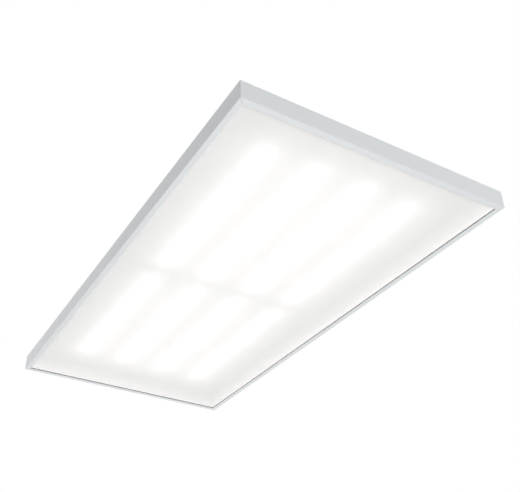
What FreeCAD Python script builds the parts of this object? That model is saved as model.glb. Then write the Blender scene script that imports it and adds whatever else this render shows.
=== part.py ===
import FreeCAD
import Part
import Sketcher
import math
import operator
import os

# A recessed back-lit ceiling light for a 600 x 1200 grid, in millimetres.
# X runs across the short side, Y along the long side and Z up. The origin is the
# middle of the lower face of the lips, the face that lies on the ceiling grid.

document = FreeCAD.newDocument("ceiling_light")
sheet = document.addObject("Spreadsheet::Sheet", "Sizes")

SIZES = {
    # frame of four mitred rails
    "panel_length": 1195,
    "panel_width": 595,
    "panel_height": 40,
    "wall": 1.2,
    "lip_width": 12,
    "lip_thickness": 1.2,
    "bend_radius": 1.6,
    "ledge_width": 14,
    "ledge_thickness": 1.6,
    "rebate_depth": 1.6,
    "mitre_gap": 0.4,
    "bracket_leg": 42,
    "bracket_thickness": 2,
    "bracket_clearance": 0.3,
    "corner_screw_from_corner": 30,
    "corner_screw_radius": 1.5,
    "corner_screw_head_radius": 2.8,
    # seal, diffuser and reflectors
    "seal_thickness": 2.8,
    "seal_clearance": 0.3,
    "diffuser_thickness": 2,
    "diffuser_clearance": 1.5,
    "reflector_thickness": 0.5,
    "reflector_foot": 10.5,
    "reflector_foot_inset": 3.5,
    "reflector_slope": 16,
    "reflector_head": 12,
    "sheet_thickness": 0.3,
    # back plate and its fasteners
    "plate_thickness": 0.8,
    "plate_clearance": 0.4,
    "plate_screw_radius": 1.45,
    "plate_screw_head_radius": 3,
    "plate_screw_head_height": 1.8,
    "plate_screw_length": 7,
    "plate_screw_from_end": 117.5,
    "plate_screw_from_side": 117.5,
    "hole_clearance": 0.1,
    "rib_width": 18,
    "rib_height": 2.4,
    "rib_top_radius": 2.1,
    "rib_end_flat": 0.1,
    "rib_from_middle": 85,
    "rib_from_end": 62,
    "nut_flange_radius": 5,
    "nut_flange_height": 0.8,
    "nut_barrel_radius": 3.5,
    "nut_bore_radius": 2.1,
    "nut_length": 6.5,
    "nut_bulge": 0.6,
    "nut_from_side": 21.5,
    "nut_from_end": 75,
    # light strips
    "strip_length": 485,
    "strip_width": 18,
    "strip_thickness": 1.2,
    "strip_pitch": 113,
    "strip_middle_gap": 50,
    "chip_width": 2.8,
    "chip_length": 3.5,
    "chip_height": 0.7,
    "chip_pitch": 17,
    "chip_from_plug": 2.25,
    "rivet_radius": 1.5,
    "rivet_head_radius": 3,
    "rivet_head_height": 0.8,
    "rivet_from_end": 35,
    "rivet_side_step": 5.5,
    "plug_length": 9,
    "plug_width": 7,
    "plug_height": 3.4,
    "cross_board_width": 12,
    "jumper_radius": 0.7,
    "jumper_spacing": 3,
    "jumper_overlap": 3,
    # gear box on the back, its lid and what it holds
    "gear_length": 380,
    "gear_width": 96,
    "gear_height": 34,
    "gear_wall": 1,
    "gear_corner_radius": 2.5,
    "knockout_radius": 10,
    "knockout_groove": 0.8,
    "knockout_depth": 0.4,
    "gear_rivet_from_side": 10,
    "lid_thickness": 1,
    "lid_bend_radius": 1.2,
    "lid_gap": 0.3,
    "lid_side_gap": 0.4,
    "lid_flange": 7,
    "knuckle_radius": 2.5,
    "knuckle_length": 14,
    "knuckle_from_middle": 120,
    "hinge_pin_radius": 1.25,
    "hinge_pin_head_radius": 2,
    "hinge_pin_head_length": 1,
    "hinge_clearance": 0.05,
    "lid_screw_radius": 1.5,
    "lid_screw_reach": 5,
    "lid_screw_head_radius": 2.6,
    "lid_screw_head_height": 1.8,
    "lid_screw_drop": 5,
    "lid_screw_looseness": 0.6,
    "lid_slot_clearance": 0.5,
    "driver_length": 190,
    "driver_width": 50,
    "driver_height": 22,
    "driver_wall": 0.8,
    "driver_offset": 10,
    "driver_ear": 9,
    "driver_screw_length": 2.5,
    "driver_board_thickness": 1.6,
    "driver_board_lift": 3,
    "driver_board_margin": 2.5,
    "post_radius": 2.5,
    "transformer_length": 26,
    "transformer_width": 24,
    "transformer_height": 13,
    "capacitor_radius": 5,
    "capacitor_height": 13,
    "terminal_from_driver": 30,
    "terminal_length": 22,
    "terminal_height": 14,
    "pole_pitch": 7.5,
    "pole_margin": 4.5,
    "slot_width": 5.9,
    "slot_depth": 4,
    "lever_side_gap": 0.3,
    "lever_thickness": 3.2,
    "lever_overhang": 2,
    "lever_pivot_inset": 4.6,
    "trunnion_radius": 1,
    "trunnion_reach": 0.5,
    "entry_radius": 1.6,
    "entry_depth": 8,
    "entry_height": 5.3,
    "grommet_bore_radius": 4.5,
    "grommet_neck_radius": 8.6,
    "grommet_flange_radius": 10.5,
    "grommet_flange": 1.5,
    "grommet_nose": 6,
    "grommet_height": 14,
    "bush_bore_radius": 4.5,
    "bush_neck_radius": 6,
    "bush_flange_radius": 7.5,
    "bush_flange": 1.2,
    "bush_from_driver": 40,
    "bush_across": 15,
    "output_lead_spacing": 4,
    "output_lead_overlap": 2,
    "lead_radius": 0.9,
    "lead_bend": 5,
    "stud_across": 36,
    "stud_radius": 2,
    "stud_height": 11.5,
    "stud_flange_radius": 3.2,
    "stud_flange_height": 0.6,
    "stud_nut_width": 7,
    "stud_nut_height": 3.2,
    "lug_radius": 4.2,
    "lug_thickness": 0.8,
    "lug_barrel_radius": 1.5,
    "lug_barrel_length": 6,
    # swing-out clips that reach over the ceiling grid
    "clip_length": 62,
    "clip_width": 16,
    "clip_thickness": 1.2,
    "clip_lift": 0.5,
    "clip_tab": 5,
    "clip_corner_radius": 2.5,
    "clip_from_side": 22,
    "clip_from_end": 200,
    "clip_play": 0.1,
    "clip_pin_radius": 2.5,
    "clip_collar_radius": 4.5,
    "clip_head_radius": 5,
    "clip_head_height": 2,
    "clip_thread_radius": 2,
    "clip_thread_length": 4.4,
    "clip_nut_radius": 4,
    "clip_nut_height": 3,
}

for row, (alias, number) in enumerate(SIZES.items(), start=1):
    sheet.set(f"A{row}", alias)
    sheet.set(f"B{row}", str(number))
    sheet.setAlias(f"B{row}", alias)
document.recompute()

OPERATIONS = {"+": operator.add, "-": operator.sub, "*": operator.mul, "/": operator.truediv}


class Length:
    """A size in millimetres together with the sheet expression that gives it."""

    def __init__(self, value, text):
        self.value = value
        self.text = text

    def __add__(self, other):
        return combine(self, "+", other)

    def __radd__(self, other):
        return combine(other, "+", self)

    def __sub__(self, other):
        return combine(self, "-", other)

    def __rsub__(self, other):
        return combine(other, "-", self)

    def __mul__(self, other):
        return combine(self, "*", other)

    def __rmul__(self, other):
        return combine(other, "*", self)

    def __truediv__(self, other):
        return combine(self, "/", other)

    def __neg__(self):
        return combine(-1, "*", self)


def as_length(number):
    return number if isinstance(number, Length) else Length(number, f"({number})")


def combine(left, sign, right):
    left, right = as_length(left), as_length(right)
    value = OPERATIONS[sign](left.value, right.value)
    return Length(value, f"({left.text} {sign} {right.text})")


def whole(length):
    """The whole number at or just under a length."""
    return Length(math.floor(length.value), f"floor({length.text})")


def size(alias):
    return Length(float(sheet.get(alias)), f"Sizes.{alias}")


def vector(x, y, z):
    return FreeCAD.Vector(*(as_length(number).value for number in (x, y, z)))


# ---- heights and places that several pieces share --------------------------------

half_width = size("panel_width") / 2
half_length = size("panel_length") / 2
lip_top = size("lip_thickness")
seal_top = lip_top + size("seal_thickness")
diffuser_top = seal_top + size("diffuser_thickness")
ledge_top = size("panel_height") - size("rebate_depth")
ledge_bottom = ledge_top - size("ledge_thickness")
plate_top = ledge_top + size("plate_thickness")
sheet_bottom = ledge_top - size("sheet_thickness")
strip_bottom = sheet_bottom - size("strip_thickness")
chip_bottom = strip_bottom - size("chip_height")
ledge_middle = (size("wall") + size("ledge_width")) / 2
reflector_foot_end = size("reflector_foot_inset") + size("reflector_foot")
reflector_head_start = reflector_foot_end + size("reflector_slope")
gear_floor_top = plate_top + size("gear_wall")
gear_top = plate_top + size("gear_height")
half_gear_length = size("gear_length") / 2
half_gear_width = size("gear_width") / 2
driver_start = size("driver_offset") - size("driver_length") / 2
driver_end = driver_start + size("driver_length")
terminal_start = driver_end + size("terminal_from_driver")
terminal_end = terminal_start + size("terminal_length")
terminal_top = gear_floor_top + size("terminal_height")
bush_x = driver_start - size("bush_from_driver")
bush_y = size("bush_across")
clip_bottom = size("panel_height") + size("clip_lift")

CORNERS = [(-1, -1), (1, -1), (1, 1), (-1, 1)]
STRIP_COLUMNS = 4
PLATE_SCREWS_ALONG = 5
PLATE_SCREWS_ACROSS = 3
MITRE_SHARE = math.sqrt(0.5)
CUTTER_MARGIN = 1
THREAD_POINT = 0.6
SCREW_RIM = 0.5
SCREW_CROWN = 0.72
RECESS_SPAN = 1.1
RECESS_SLOT = 0.22
RIVET_TAIL = 0.75


# ---- ways of making solids ---------------------------------------------------------

def add(kind, label):
    thing = document.addObject(kind, "Solid")
    thing.Label = label
    return thing


def bind(thing, **sizes):
    for name, length in sizes.items():
        thing.setExpression(name, as_length(length).text)


def place(thing, x, y, z):
    for axis, length in zip("xyz", (x, y, z)):
        thing.setExpression(f"Placement.Base.{axis}", as_length(length).text)
    return thing


def block(label, low, high):
    """A rectangular block between two opposite corners."""
    thing = add("Part::Box", label)
    length, width, height = (top - bottom for bottom, top in zip(low, high))
    bind(thing, Length=length, Width=width, Height=height)
    return place(thing, *low)


AXIS_TURNS = {
    "X": FreeCAD.Rotation(FreeCAD.Vector(0, 1, 0), 90),
    "Y": FreeCAD.Rotation(FreeCAD.Vector(1, 0, 0), -90),
    "Z": FreeCAD.Rotation(),
}


def rod(label, radius, height, base, axis="Z"):
    """A round rod that starts at base and runs along an axis."""
    thing = add("Part::Cylinder", label)
    bind(thing, Radius=radius, Height=height)
    thing.Placement = FreeCAD.Placement(FreeCAD.Vector(), AXIS_TURNS[axis])
    return place(thing, *base)


def cone(label, low_radius, high_radius, height, base):
    thing = add("Part::Cone", label)
    bind(thing, Radius1=low_radius, Radius2=high_radius, Height=height)
    return place(thing, *base)


def fuse(label, pieces):
    thing = add("Part::MultiFuse", label)
    thing.Shapes = pieces
    thing.Refine = True
    return thing


def cut(label, base, tools):
    thing = add("Part::Cut", label)
    thing.Base = base
    thing.Tool = tools[0] if len(tools) == 1 else group(f"{label} cutters", tools)
    thing.Refine = True
    return thing


def group(label, pieces):
    """Separate solids kept under one name."""
    thing = add("Part::Compound", label)
    thing.Links = pieces
    return thing


def feature(label, shape):
    thing = add("Part::Feature", label)
    thing.Shape = shape
    return thing


def origin_plane(body, role):
    return next(item for item in body.Origin.OriginFeatures if item.Role == role)


def draw(body, role, outlines):
    """A sketch of closed outlines on one of the body's own planes."""
    sketch = body.newObject("Sketcher::SketchObject", "Sketch")
    sketch.AttachmentSupport = [(origin_plane(body, role), "")]
    sketch.MapMode = "FlatFace"
    for outline in outlines:
        draw_outline(sketch, outline)
    return sketch


def draw_outline(sketch, outline):
    first = sketch.GeometryCount
    corners = [vector(u, v, 0) for u, v in outline]
    count = len(corners)
    for number in range(count):
        line = Part.LineSegment(corners[number], corners[(number + 1) % count])
        sketch.addGeometry(line)
    for number in range(count):
        following = first + (number + 1) % count
        sketch.addConstraint(Sketcher.Constraint("Coincident", first + number, 2, following, 1))
    for number, corner in enumerate(outline):
        for kind, length in zip(("DistanceX", "DistanceY"), corner):
            fix(sketch, kind, first + number, length)


def fix(sketch, kind, line, length):
    constraint = Sketcher.Constraint(kind, line, 1, as_length(length).value)
    index = sketch.addConstraint(constraint)
    sketch.setExpression(f"Constraints[{index}]", as_length(length).text)


def extrusion(label, role, outlines, depth):
    """A body padded to both sides of one of its origin planes."""
    body = add("PartDesign::Body", label)
    pad = body.newObject("PartDesign::Pad", "Pad")
    pad.Profile = draw(body, role, outlines)
    pad.SideType = "Symmetric"
    bind(pad, Length=depth)
    body.Tip = pad
    return body


def pocket(body, role, outlines, depth):
    """A cut to both sides of one of the body's origin planes."""
    feature_cut = body.newObject("PartDesign::Pocket", "Pocket")
    feature_cut.Profile = draw(body, role, outlines)
    feature_cut.SideType = "Symmetric"
    bind(feature_cut, Length=depth)
    body.Tip = feature_cut
    return body


def ends(edge):
    return [vertex.Point for vertex in edge.Vertexes]


def upright(edge):
    first, last = ends(edge)
    return near(first.x, last.x) and near(first.y, last.y)


def level(edge, height):
    return all(near(point.z, height) for point in ends(edge))


def rounded_block(label, low, high, side_radius, top_radius=None, open_rear=False):
    """A block with rounded upright edges and, where asked, rounded top edges.

    An open rear keeps the edges on the high Y side sharp.
    """
    length, width, height = (top - bottom for bottom, top in zip(low, high))
    x, y = length / 2, width / 2
    body = extrusion(label, "XY_Plane", [[(-x, -y), (x, -y), (x, y), (-x, y)]], height)

    def in_front(edge):
        return not open_rear or not all(near(point.y, y) for point in ends(edge))

    round_edges(body, side_radius, lambda edge: upright(edge) and in_front(edge))
    if top_radius is not None:
        round_edges(body, top_radius, lambda edge: level(edge, height / 2) and in_front(edge))
    middle = [(bottom + top) / 2 for bottom, top in zip(low, high)]
    return place(body, *middle)


def round_edges(body, radius, chosen):
    """Rounds the edges of the body that pass the chosen test."""
    document.recompute()
    base = body.Tip
    names = [f"Edge{number}" for number, edge in enumerate(base.Shape.Edges, start=1) if chosen(edge)]
    fillet = body.newObject("PartDesign::Fillet", "Fillet")
    fillet.Base = (base, names)
    bind(fillet, Radius=radius)
    body.Tip = fillet


def near(number, length):
    return abs(number - as_length(length).value) < 1e-4


def spun(radii_and_heights):
    """A turned solid from the half section's corners, about the Z axis."""
    corners = [FreeCAD.Vector(radius, 0, height) for radius, height in radii_and_heights]
    face = Part.Face(Part.makePolygon(corners + corners[:1]))
    return face.revolve(FreeCAD.Vector(), FreeCAD.Vector(0, 0, 1), 360)


def copies(label, shape, places):
    """One solid repeated at each place, such as a set of like fasteners."""
    solids = []
    for spot in places:
        solid = shape.copy()
        solid.translate(spot)
        solids.append(solid)
    return feature(label, Part.makeCompound(solids))


def cross_recess(radius, depth, top):
    """The crossed slots of a screw head, as cutters."""
    arm = radius * RECESS_SPAN
    slot = radius * RECESS_SLOT
    along_x = Part.makeBox(arm, slot, depth, FreeCAD.Vector(-arm / 2, -slot / 2, top - depth))
    along_y = Part.makeBox(slot, arm, depth, FreeCAD.Vector(-slot / 2, -arm / 2, top - depth))
    return along_x.fuse(along_y)


def pan_screw(radius, length, head_radius, head_height):
    """A pan-head screw with its seat at z = 0 and its head above."""
    rim = head_height * SCREW_RIM
    crown = head_radius * SCREW_CROWN
    section = [
        (0, -length), (radius * THREAD_POINT, -length), (radius, -length + radius), (radius, 0),
        (head_radius, 0), (head_radius, rim), (crown, head_height), (0, head_height),
    ]
    return spun(section).cut(cross_recess(head_radius, rim, head_height))


def bent_path(points, bend):
    """Straight runs joined by tangent arcs of one radius."""
    edges = []
    start = points[0]
    for before, corner, after in zip(points, points[1:], points[2:]):
        inward = (before - corner).normalize()
        outward = (after - corner).normalize()
        half_turn = (math.pi - inward.getAngle(outward)) / 2
        reach = bend * math.tan(half_turn)
        bisector = (inward + outward).normalize()
        middle = corner + bisector * (bend / math.cos(half_turn) - bend)
        first = corner + inward * reach
        last = corner + outward * reach
        edges.append(Part.makeLine(start, first))
        edges.append(Part.Arc(first, middle, last).toShape())
        start = last
    edges.append(Part.makeLine(start, points[-1]))
    return Part.Wire(edges)


def lead(points, radius, bend):
    """A round wire along a route of corner points."""
    path = bent_path(points, bend)
    circle = Part.makeCircle(radius, points[0], points[1] - points[0])
    shell = path.makePipeShell([Part.Wire(circle)], True, False)
    return Part.Solid(shell)


# ---- frame rails -------------------------------------------------------------------

def ring_side(points, half_span, sign):
    """Section corners given as (inward, height), placed on one side of the frame."""
    return [(sign * (half_span - inward), height) for inward, height in points]


def mitre_cutters(half_side, half_run, side, reach, along_y):
    """Two triangles that take the ends of a side back to the corner diagonals."""
    gap = size("mitre_gap") * MITRE_SHARE
    margin = CUTTER_MARGIN
    outlines = []
    for end in (-1, 1):
        outer = side * (half_side + margin)
        inner = side * (half_side - reach)
        near_outer = end * (half_run + margin - gap)
        near_inner = end * (half_run - reach - gap)
        beyond = end * (half_run + margin * 2)
        corners = [(outer, near_outer), (inner, near_inner), (inner, beyond), (outer, beyond)]
        outlines.append(corners if along_y else [(v, u) for u, v in corners])
    return outlines


def side_strip(label, section, along_y, side, reach):
    """A strip of constant section along one side, mitred at both ends."""
    half_side, half_run = (half_width, half_length) if along_y else (half_length, half_width)
    role = "XZ_Plane" if along_y else "YZ_Plane"
    body = extrusion(label, role, [ring_side(section, half_side, side)], half_run * 2)
    return body, mitre_cutters(half_side, half_run, side, reach, along_y)


def rail_section():
    wall = size("wall")
    return [
        (0, 0), (size("lip_width"), 0), (size("lip_width"), lip_top), (wall, lip_top),
        (wall, ledge_bottom), (size("ledge_width"), ledge_bottom),
        (size("ledge_width"), ledge_top), (wall, ledge_top),
        (wall, size("panel_height")), (0, size("panel_height")),
    ]


SIDES = {
    "left": (True, -1),
    "right": (True, 1),
    "near": (False, -1),
    "far": (False, 1),
}


def spread(half_run, from_end, count):
    """Evenly spaced places along a side, the same distance in from both ends."""
    reach = half_run - from_end
    return [reach * (2 * number / (count - 1) - 1) for number in range(count)]


def plate_screw_places():
    across = half_width - ledge_middle
    along = half_length - ledge_middle
    long_side = spread(half_length, size("plate_screw_from_end"), PLATE_SCREWS_ALONG)
    short_side = spread(half_width, size("plate_screw_from_side"), PLATE_SCREWS_ACROSS)
    places = []
    for side in (-1, 1):
        places += [(side * across, y) for y in long_side]
        places += [(x, side * along) for x in short_side]
    return places


def corner_screw_places():
    places = []
    for x_side, y_side in CORNERS:
        step = size("corner_screw_from_corner")
        places.append((x_side * (half_width - step), y_side * (half_length - ledge_middle)))
        places.append((x_side * (half_width - ledge_middle), y_side * (half_length - step)))
    return places


def on_rail(place_xy, along_y, side):
    """Whether a fastener's place lies on the ledge of this rail."""
    x, y = (as_length(number).value for number in place_xy)
    across = x if along_y else y
    half_side = half_width if along_y else half_length
    return near(across * side, half_side - ledge_middle)


def rail(name):
    along_y, side = SIDES[name]
    reach = size("ledge_width") + CUTTER_MARGIN
    body, mitres = side_strip(f"rail_{name} bar", rail_section(), along_y, side, reach)
    outer = side * (half_width if along_y else half_length)

    def lower_outer(edge):
        across = [point.x if along_y else point.y for point in ends(edge)]
        return level(edge, 0) and all(near(number, outer) for number in across)

    round_edges(body, size("bend_radius"), lower_outer)
    pocket(body, "XY_Plane", mitres, size("panel_height") * 4)
    tools = []
    for x, y in plate_screw_places():
        if on_rail((x, y), along_y, side):
            radius = size("plate_screw_radius") + size("hole_clearance") / 2
            tools.append(rod("screw hole", radius, size("ledge_thickness"), (x, y, ledge_bottom)))
    for x, y in corner_screw_places():
        if on_rail((x, y), along_y, side):
            tools.append(countersink(x, y))
    return cut(f"rail_{name}", body, tools)


def countersink(x, y):
    clearance = size("hole_clearance")
    return cone(
        "countersink", size("corner_screw_radius") + clearance,
        size("corner_screw_head_radius") + clearance, size("ledge_thickness"), (x, y, ledge_bottom),
    )


def corner_bracket(number, x_side, y_side):
    """A flat steel angle under the ledges that ties two rails together."""
    start = size("wall") + size("bracket_clearance")
    end = size("bracket_leg")
    edge = size("ledge_width") - size("bracket_clearance")
    inward = [(start, start), (end, start), (end, edge), (edge, edge), (edge, end), (start, end)]
    corners = [(x_side * (half_width - u), y_side * (half_length - v)) for u, v in inward]
    depth = size("bracket_thickness")
    angle = extrusion(f"corner_bracket_{number} angle", "XY_Plane", [corners], depth)
    place(angle, 0, 0, ledge_bottom - depth / 2)
    tools = []
    for x, y in corner_screw_places()[2 * number - 2:2 * number]:
        radius = size("corner_screw_radius") + size("hole_clearance") / 2
        tools.append(rod("tapped hole", radius, depth, (x, y, ledge_bottom - depth)))
    return cut(f"corner_bracket_{number}", angle, tools)


def corner_brackets():
    return group("corner_brackets", [corner_bracket(i, *corner)
                                     for i, corner in enumerate(CORNERS, start=1)])


def corner_screws():
    head = size("corner_screw_head_radius").value
    radius = size("corner_screw_radius").value
    sink = size("ledge_thickness").value
    length = sink + size("bracket_thickness").value + radius
    section = [(0, -length), (radius * THREAD_POINT, -length), (radius, radius - length)]
    section += [(radius, -sink), (head, 0), (0, 0)]
    screw = spun(section).cut(cross_recess(head, sink * 0.6, 0))
    places = [vector(x, y, ledge_top) for x, y in corner_screw_places()]
    return copies("corner_screws", screw, places)


def frame_nodes():
    rails = [rail(name) for name in SIDES]
    return rails + [corner_brackets(), corner_screws()]


# ---- seal, diffuser and reflectors ---------------------------------------------------

def seal(name):
    """A strip of grey foam on the lip, under the edge of the diffuser."""
    along_y, side = SIDES[name]
    outer = size("wall") + size("seal_clearance")
    inner = size("lip_width")
    if along_y:
        across = sorted((side * (half_width - outer), side * (half_width - inner)), key=value_of)
        run = half_length - outer
        low = (across[0], -run, lip_top)
        high = (across[1], run, seal_top)
    else:
        across = sorted((side * (half_length - outer), side * (half_length - inner)), key=value_of)
        run = half_width - inner
        low = (-run, across[0], lip_top)
        high = (run, across[1], seal_top)
    return block(f"seal_{name}", low, high)


def value_of(length):
    return length.value


def diffuser():
    x = half_width - size("wall") - size("diffuser_clearance")
    y = half_length - size("wall") - size("diffuser_clearance")
    return block("diffuser", (-x, -y, seal_top), (x, y, diffuser_top))


def reflector_section():
    """A folded strip: a foot on the diffuser, a slope, and a head under the back plate."""
    thick = size("reflector_thickness")
    foot_start = size("reflector_foot_inset")
    head_end = reflector_head_start + size("reflector_head")
    return [
        (foot_start, diffuser_top), (reflector_foot_end + thick, diffuser_top),
        (reflector_head_start + thick, sheet_bottom - thick), (head_end, sheet_bottom - thick),
        (head_end, sheet_bottom), (reflector_head_start, sheet_bottom),
        (reflector_foot_end, diffuser_top + thick), (foot_start, diffuser_top + thick),
    ]


def side_reflector(name):
    along_y, side = SIDES[name]
    reach = reflector_head_start + size("reflector_head") + CUTTER_MARGIN
    body, mitres = side_strip(f"side_reflector_{name}", reflector_section(), along_y, side, reach)
    return pocket(body, "XY_Plane", mitres, size("panel_height") * 4)


def strip_middle(column):
    return (column - (STRIP_COLUMNS - 1) / 2) * size("strip_pitch")


def strip_places():
    """Number, column middle and direction along Y of each light strip."""
    return [(STRIP_COLUMNS * row + column + 1, strip_middle(column), side)
            for row, side in enumerate((-1, 1)) for column in range(STRIP_COLUMNS)]


def rivet_places():
    """Three rivets along each light strip, one side of its row of chips."""
    places = []
    reach = size("strip_length") / 2 - size("rivet_from_end")
    middle = (size("strip_middle_gap") + size("strip_length")) / 2
    for number, x, side in strip_places():
        for step in (-1, 0, 1):
            places.append((x + size("rivet_side_step"), side * (middle + step * reach)))
    return places


def reflector_sheet():
    x = half_width - reflector_head_start + size("plate_clearance")
    y = half_length - reflector_head_start + size("plate_clearance")
    white_sheet = block("reflector_sheet blank", (-x, -y, sheet_bottom), (x, y, ledge_top))
    thick = size("sheet_thickness")
    tools = [rod("rivet hole", size("rivet_radius") + size("hole_clearance"), thick, (u, v, sheet_bottom))
             for u, v in rivet_places()]
    neck = size("bush_neck_radius") + size("hole_clearance")
    tools.append(rod("bush hole", neck, thick, (bush_x, bush_y, sheet_bottom)))
    tail = size("rivet_head_radius") * RIVET_TAIL + size("hole_clearance")
    tools += [rod("rivet tail hole", tail, thick, (u, v, sheet_bottom)) for u, v in gear_rivet_places()]
    return cut("reflector_sheet", white_sheet, tools)


def optic_nodes():
    nodes = [seal(name) for name in SIDES]
    nodes.append(diffuser())
    nodes += [side_reflector(name) for name in SIDES]
    nodes.append(reflector_sheet())
    return nodes


# ---- back plate -----------------------------------------------------------------------

def rib_solid(label, x, side, half_rib, low, high, top_radius):
    """A long bar with round ends and a rounded top, on one half of the plate."""
    start = size("rib_from_middle") - half_rib
    end = half_length - size("rib_from_end") + half_rib
    y_low, y_high = (start, end) if side > 0 else (-end, -start)
    corner = half_rib - size("rib_end_flat") / 2
    return rounded_block(label, (x - half_rib, y_low, low), (x + half_rib, y_high, high),
                         corner, top_radius)


def rib_places():
    return [(column * size("strip_pitch"), side) for column in (-1, 0, 1) for side in (-1, 1)]


def nut_places():
    x = half_width - size("nut_from_side")
    y = half_length - size("nut_from_end")
    return [(x_side * x, y_side * y) for x_side, y_side in CORNERS]


def clip_places():
    x = half_width - size("clip_from_side")
    y = half_length - size("clip_from_end")
    return [(x_side * x, y_side * y) for x_side, y_side in CORNERS]


def gear_rivet_places():
    """Over the gaps between the outer light strips, so that the tails stay clear of them."""
    x = size("strip_pitch")
    y = half_gear_width - size("gear_rivet_from_side")
    return [(x_side * x, y_side * y) for x_side, y_side in CORNERS]


def driver_screw_places():
    ear = size("driver_ear") / 2
    return [(driver_start - ear, 0), (driver_end + ear, 0)]


def plate_holes():
    clearance = size("hole_clearance")
    sets = [
        (plate_screw_places(), size("plate_screw_radius") + 4 * clearance),
        (rivet_places() + gear_rivet_places(), size("rivet_radius") + clearance),
        (nut_places(), size("nut_barrel_radius") + clearance),
        (clip_places(), size("clip_thread_radius") + clearance),
        (driver_screw_places(), size("plate_screw_radius") + clearance),
        ([(bush_x, bush_y)], size("bush_neck_radius") + clearance),
    ]
    return [rod("hole", radius, size("plate_thickness"), (x, y, ledge_top))
            for places, radius in sets for x, y in places]


def back_plate():
    x = half_width - size("wall") - size("plate_clearance")
    y = half_length - size("wall") - size("plate_clearance")
    flat = block("back_plate blank", (-x, -y, ledge_top), (x, y, plate_top))
    half_rib = size("rib_width") / 2
    rise = size("rib_height")
    ribs = [rib_solid("rib", u, side, half_rib, plate_top, plate_top + rise, size("rib_top_radius"))
            for u, side in rib_places()]
    half_hollow = half_rib - size("plate_thickness")
    inner_radius = size("rib_top_radius") - size("plate_thickness")
    hollows = [rib_solid("rib hollow", u, side, half_hollow, ledge_top, ledge_top + rise, inner_radius)
               for u, side in rib_places()]
    return cut("back_plate", fuse("back_plate ribbed", [flat] + ribs), hollows + plate_holes())


def plate_screws():
    screw = pan_screw(
        size("plate_screw_radius").value, size("plate_screw_length").value,
        size("plate_screw_head_radius").value, size("plate_screw_head_height").value,
    )
    places = [vector(x, y, plate_top) for x, y in plate_screw_places()]
    return copies("back_plate_screws", screw, places)


def suspension_nuts():
    """Rivet nuts that take the rods or hooks of a suspension set."""
    bore = size("nut_bore_radius").value
    barrel = size("nut_barrel_radius").value
    flange = size("nut_flange_radius").value
    rise = size("nut_flange_height").value
    length = size("nut_length").value
    bulge = barrel + size("nut_bulge").value
    sheet_gap = size("plate_thickness").value
    section = [
        (bore, -length), (barrel, -length), (barrel, -sheet_gap - 2), (bulge, -sheet_gap - 1),
        (barrel, -sheet_gap), (barrel, 0), (flange, 0), (flange, rise), (bore, rise),
    ]
    places = [vector(x, y, plate_top) for x, y in nut_places()]
    return copies("suspension_nuts", spun(section), places)


def back_nodes():
    return [back_plate(), plate_screws(), suspension_nuts()]


# ---- light strips -----------------------------------------------------------------------

def strip_span(side):
    inner = size("strip_middle_gap") / 2
    outer = inner + size("strip_length")
    return (inner, outer) if side > 0 else (-outer, -inner)


def light_board(number, x, side):
    half = size("strip_width") / 2
    y_low, y_high = strip_span(side)
    blank = block(f"light_board_{number} blank", (x - half, y_low, strip_bottom),
                  (x + half, y_high, sheet_bottom))
    radius = size("rivet_radius") + size("hole_clearance")
    tools = [rod("rivet hole", radius, size("strip_thickness"), (u, v, strip_bottom))
             for u, v in rivet_places()[3 * number - 3:3 * number]]
    return cut(f"light_board_{number}", blank, tools)


def chip_row(label, x, side):
    """One strip's light-emitting chips, in a row along its middle."""
    half_x = size("chip_width") / 2
    half_y = size("chip_length") / 2
    depth = size("chip_height")
    outline = [(-half_x, -half_y), (half_x, -half_y), (half_x, half_y), (-half_x, half_y)]
    body = extrusion(label, "XY_Plane", [outline], depth)
    row = body.newObject("PartDesign::LinearPattern", "Row")
    row.Originals = [body.Tip]
    row.Direction = (origin_plane(body, "Y_Axis"), [""])
    row.Mode = "Extent"
    margin = size("plug_length") + size("chip_from_plug") + half_y
    steps = whole((size("strip_length") - margin * 2) / size("chip_pitch"))
    reach = steps * size("chip_pitch")
    bind(row, Occurrences=steps + 1, Length=reach)
    body.Tip = row
    y_low, y_high = strip_span(side)
    return place(body, x, (y_low + y_high - reach) / 2, chip_bottom + depth / 2)


def light_chips(label, side):
    rows = [chip_row(f"{label} row {column + 1}", strip_middle(column), side)
            for column in range(STRIP_COLUMNS)]
    return group(label, rows)


def board_rivets():
    """Push rivets that hold the light strips up against the back plate."""
    radius = size("rivet_radius").value
    head = size("rivet_head_radius").value
    rise = size("rivet_head_height").value
    grip = (plate_top - strip_bottom).value
    section = [
        (0, -rise), (head * 0.7, -rise), (head, 0), (radius, 0), (radius, grip),
        (head * RIVET_TAIL, grip), (head * 0.5, grip + rise), (0, grip + rise),
    ]
    places = [vector(x, y, strip_bottom) for x, y in rivet_places()]
    return copies("board_rivets", spun(section), places)


def board_plugs():
    """A small wire connector on the inner end of each light strip."""
    half = size("plug_width") / 2
    blocks = []
    for number, x, side in strip_places():
        inner = size("strip_middle_gap") / 2
        span = sorted((side * inner, side * (inner + size("plug_length"))), key=value_of)
        low = (x - half, span[0], strip_bottom - size("plug_height"))
        high = (x + half, span[1], strip_bottom)
        blocks.append(block(f"plug {number}", low, high))
    return group("board_plugs", blocks)


def cross_board():
    """The narrow board across the middle that feeds all the light strips."""
    x = strip_middle(STRIP_COLUMNS - 1) + size("strip_width") / 2
    y = size("cross_board_width") / 2
    return block("cross_board", (-x, -y, strip_bottom), (x, y, sheet_bottom))


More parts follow.
